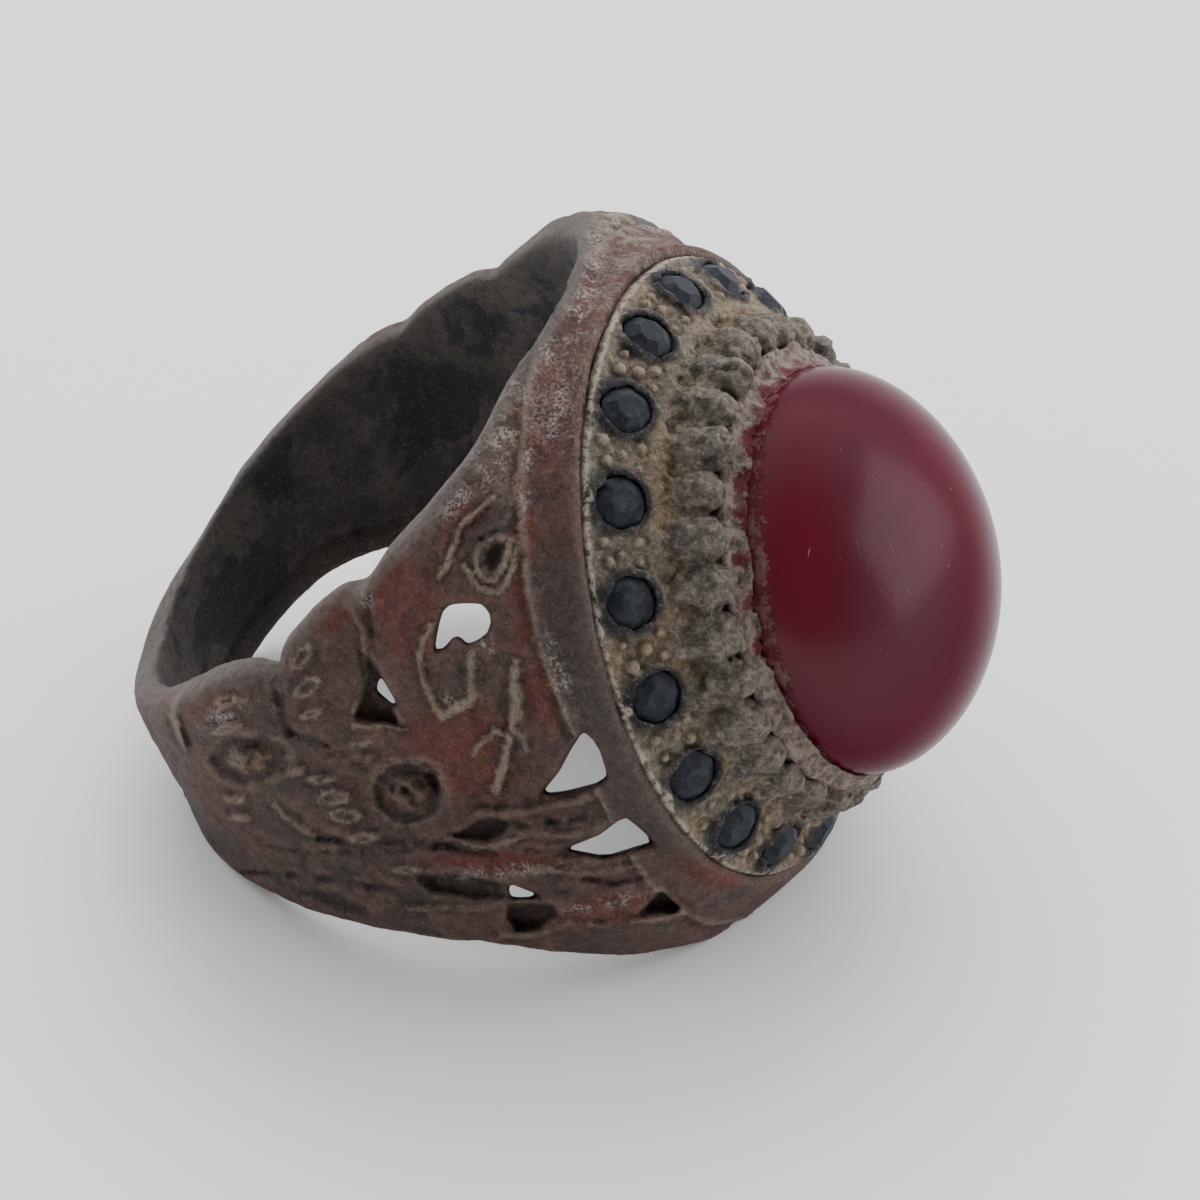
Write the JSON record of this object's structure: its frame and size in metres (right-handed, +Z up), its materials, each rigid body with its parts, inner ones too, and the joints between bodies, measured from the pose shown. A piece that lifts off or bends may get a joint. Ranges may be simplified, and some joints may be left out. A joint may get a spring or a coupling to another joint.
{
  "type": "cabochon ring",
  "caption": "Cast copper-alloy finger ring on its side: pierced, decorated shoulders, domed crown, red cabochon and a border of small dark faceted stones.",
  "frame": {"origin": "centre of the finger hole", "axes": "+Z up as the ring lies on its side; the head points along +X and a little up; the finger axis leans from +Z towards -X"},
  "size_m": [0.0288, 0.0212, 0.0199],
  "materials": {
    "cast_metal": "worn, patinated copper alloy",
    "crown_metal": "dull brass with dirt in the hollows",
    "bedding": "rough crust",
    "red_stone": "polished, lightly scratched",
    "dark_stone": "faceted, dulled"
  },
  "bodies": {
    "root": {"shank": "cast_metal", "crown_plate": "crown_metal", "resin_bedding": "bedding", "main_stone": "red_stone", "side_stone_01": "dark_stone", "side_stone_02": "dark_stone", "side_stone_03": "dark_stone", "side_stone_04": "dark_stone", "side_stone_05": "dark_stone", "side_stone_06": "dark_stone", "side_stone_07": "dark_stone", "side_stone_08": "dark_stone", "side_stone_09": "dark_stone", "side_stone_10": "dark_stone", "side_stone_11": "dark_stone", "side_stone_12": "dark_stone", "side_stone_13": "dark_stone", "side_stone_14": "dark_stone", "side_stone_15": "dark_stone", "side_stone_16": "dark_stone", "side_stone_17": "dark_stone", "side_stone_18": "dark_stone"}
  },
  "joints": []
}
